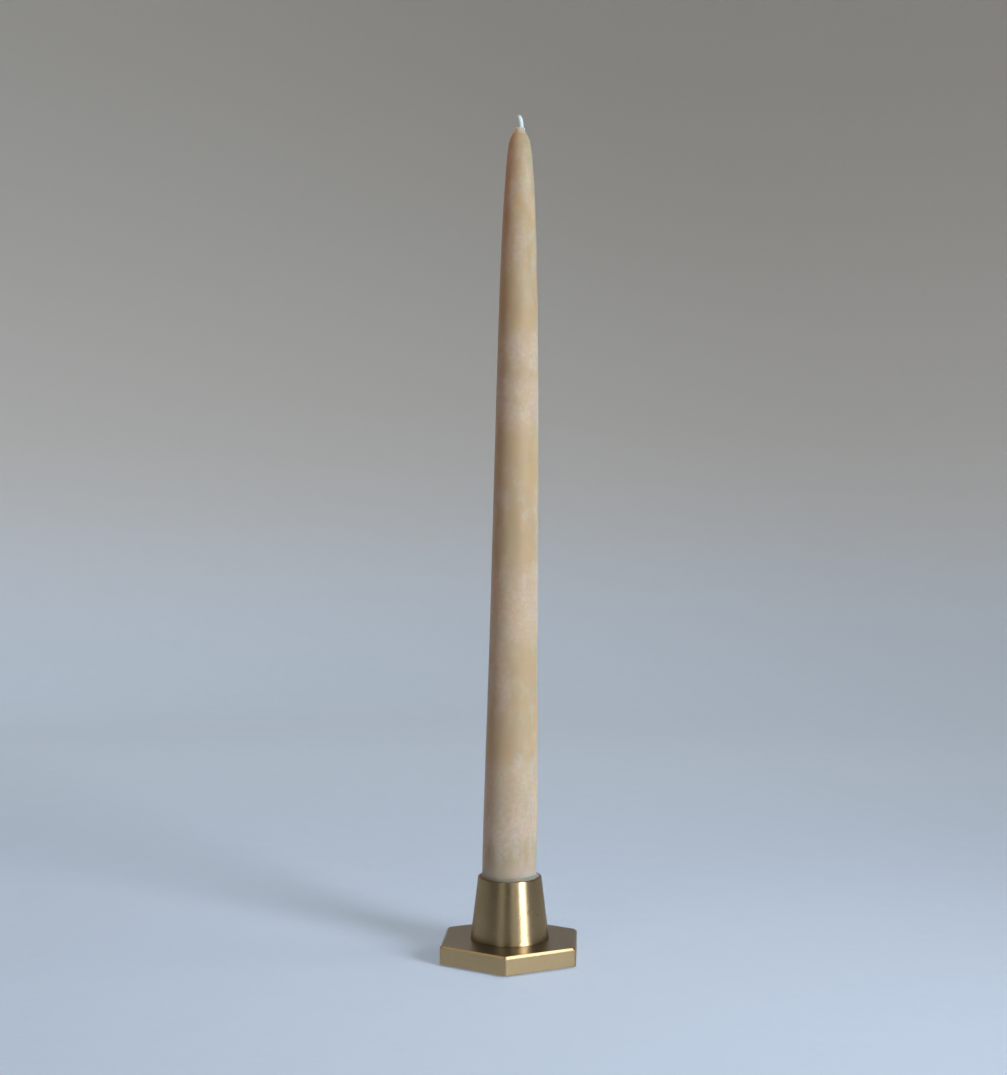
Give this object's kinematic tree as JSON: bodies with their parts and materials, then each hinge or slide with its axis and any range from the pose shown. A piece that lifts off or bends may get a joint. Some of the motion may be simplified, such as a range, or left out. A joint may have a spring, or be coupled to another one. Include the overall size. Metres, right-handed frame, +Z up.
{
  "type": "candlestick",
  "caption": "Brass candlestick with a hexagonal base plate and a tapered round cup, holding a tall dipped taper candle that lifts out.",
  "frame": {"origin": "middle of the face that the candlestick stands on, on the axis of the cup", "axes": "+Z up along the cup, -Y towards the corner of the hexagonal plate that faces the viewer, +X to the viewer's right, across two flats of the plate"},
  "size_m": [0.054, 0.062, 0.3412],
  "materials": {
    "brass_plate": "satin",
    "brass_cup": "satin",
    "brass_screw": "satin",
    "spring_steel": "satin",
    "washer_steel": "satin",
    "felt": "matte",
    "adhesive_film": "matte",
    "wax": "satin",
    "cotton_wick": "matte"
  },
  "bodies": {
    "holder": {"base_plate": "brass_plate", "candle_cup": "brass_cup", "cup_screw": "brass_screw", "spring_washer": "spring_steel", "plain_washer": "washer_steel", "felt_pad": "felt", "pad_adhesive": "adhesive_film"},
    "candle": {"candle_wax": "wax", "candle_wick": "cotton_wick"}
  },
  "joints": [
    {"name": "candle_lift", "type": "slide", "parent": "holder", "child": "candle", "axis": [0, 0, 1], "range_m": [0, 0.04]}
  ]
}
